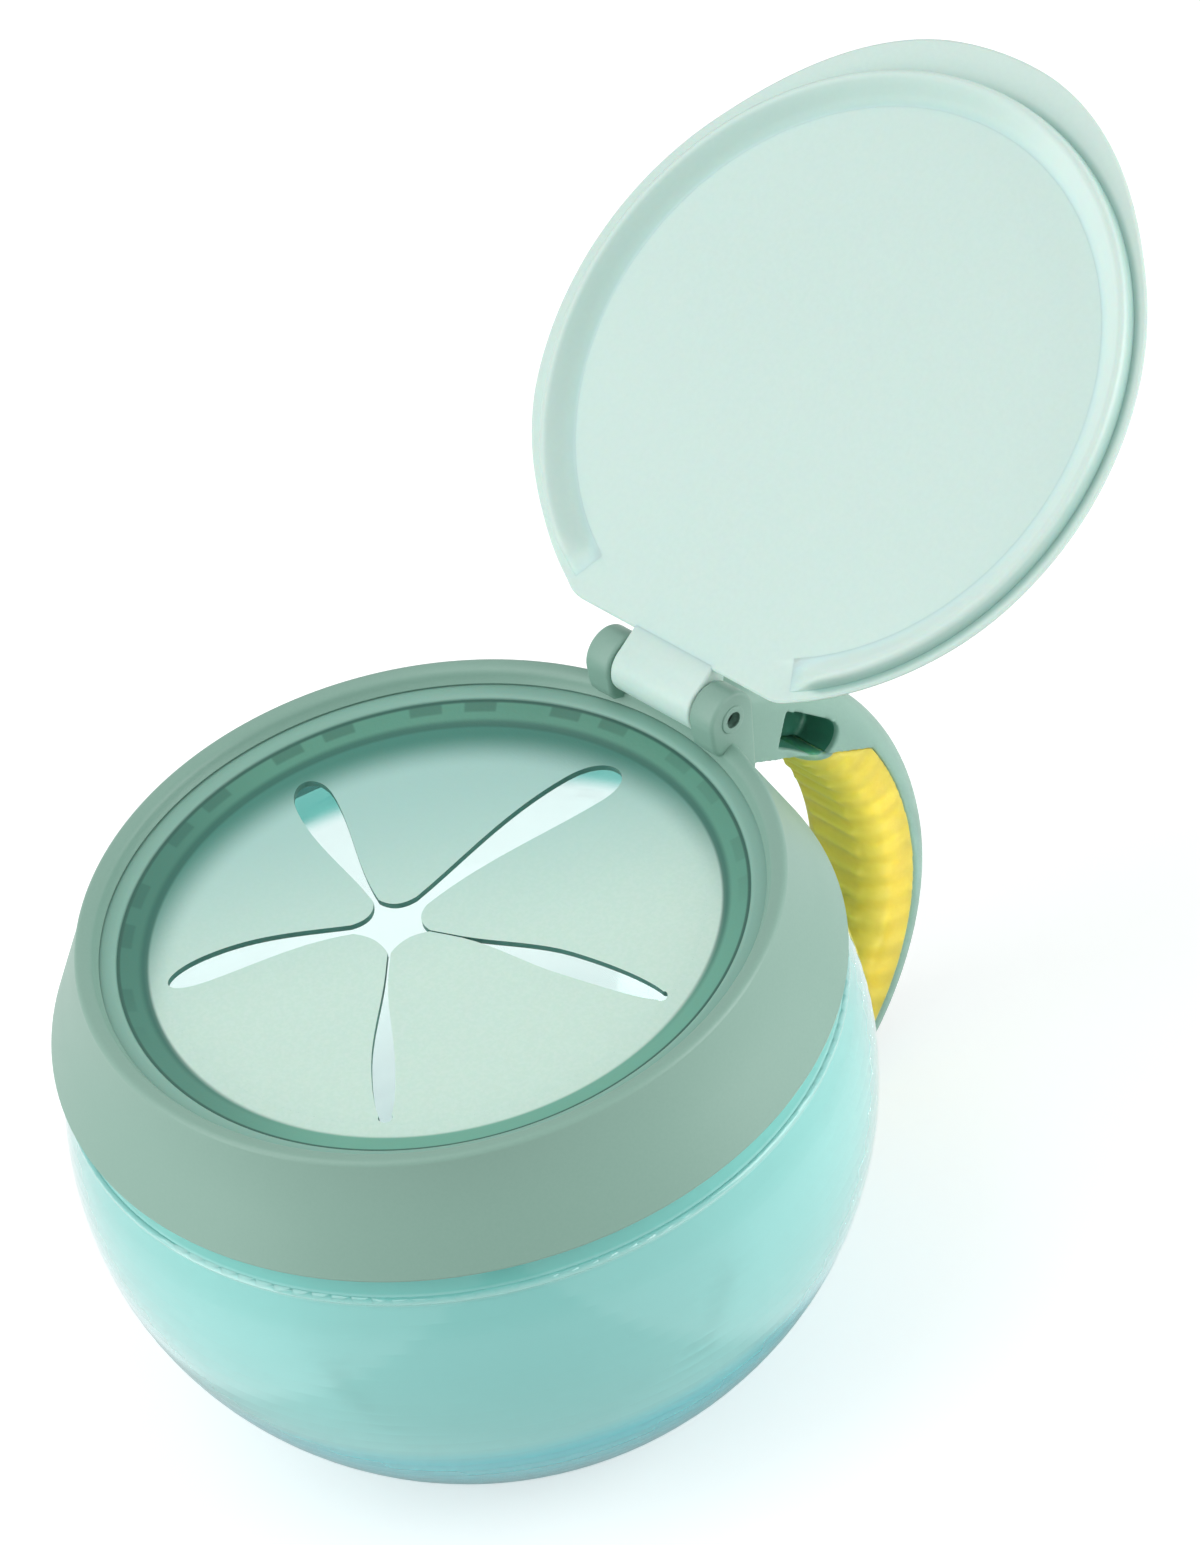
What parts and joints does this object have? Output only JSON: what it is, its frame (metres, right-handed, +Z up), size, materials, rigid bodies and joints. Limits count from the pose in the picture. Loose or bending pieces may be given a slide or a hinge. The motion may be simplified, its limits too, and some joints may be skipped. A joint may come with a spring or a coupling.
{
  "type": "toddler snack container",
  "caption": "Round toddler snack bowl with a lift-off collar, a soft slotted insert that lets a hand in, a hinged lid and a C-shaped handle with a soft grip.",
  "frame": {"origin": "middle of the flat base, on the surface that the bowl stands on", "axes": "+Z up; the hinge and the handle are at +Y; the thumb tab of the closed lid is at -Y; +X to the right seen from the thumb tab"},
  "size_m": [0.102, 0.1681, 0.1273],
  "materials": {
    "bowl": "gloss",
    "collar": "satin",
    "soft_insert": "matte",
    "lid": "satin",
    "pin": "satin",
    "handle": "satin",
    "grip": "matte"
  },
  "bodies": {
    "bowl": {"bowl": "bowl"},
    "collar": {"collar": "collar", "soft_insert": "soft_insert", "hinge_pin": "pin", "handle_frame": "handle", "handle_grip": "grip"},
    "lid": {"lid": "lid"},
    "flap_1": {"flap_1": "soft_insert"},
    "flap_2": {"flap_2": "soft_insert"},
    "flap_3": {"flap_3": "soft_insert"},
    "flap_4": {"flap_4": "soft_insert"},
    "flap_5": {"flap_5": "soft_insert"}
  },
  "joints": [
    {"name": "collar_lift", "type": "slide", "parent": "bowl", "child": "collar", "axis": [0, 0, 1], "range_m": [0, 0.06]},
    {"name": "lid_hinge", "type": "hinge", "parent": "collar", "child": "lid", "pos_m": [0, 0.0429, 0.0774], "axis": [1, 0, 0], "range_deg": [-5, 148]},
    {"name": "flap_1_hinge", "type": "hinge", "parent": "collar", "child": "flap_1", "pos_m": [0.01557, 0.02067, 0.06885], "axis": [0.7986, -0.6018, 0], "range_deg": [0, 75], "stiffness_Nm_per_rad": 0.005},
    {"name": "flap_2_hinge", "type": "hinge", "parent": "collar", "child": "flap_2", "pos_m": [-0.01674, 0.02067, 0.06885], "axis": [0.7771, 0.6293, 0], "range_deg": [0, 75], "stiffness_Nm_per_rad": 0.005},
    {"name": "flap_3_hinge", "type": "hinge", "parent": "collar", "child": "flap_3", "pos_m": [-0.02594, -0.00944, 0.06885], "axis": [-0.342, 0.9397, 0], "range_deg": [0, 75], "stiffness_Nm_per_rad": 0.005},
    {"name": "flap_4_hinge", "type": "hinge", "parent": "collar", "child": "flap_4", "pos_m": [0, -0.02694, 0.06885], "axis": [-1, 0, 0], "range_deg": [0, 75], "stiffness_Nm_per_rad": 0.005},
    {"name": "flap_5_hinge", "type": "hinge", "parent": "collar", "child": "flap_5", "pos_m": [0.02594, -0.00944, 0.06885], "axis": [-0.342, -0.9397, 0], "range_deg": [0, 75], "stiffness_Nm_per_rad": 0.005}
  ]
}
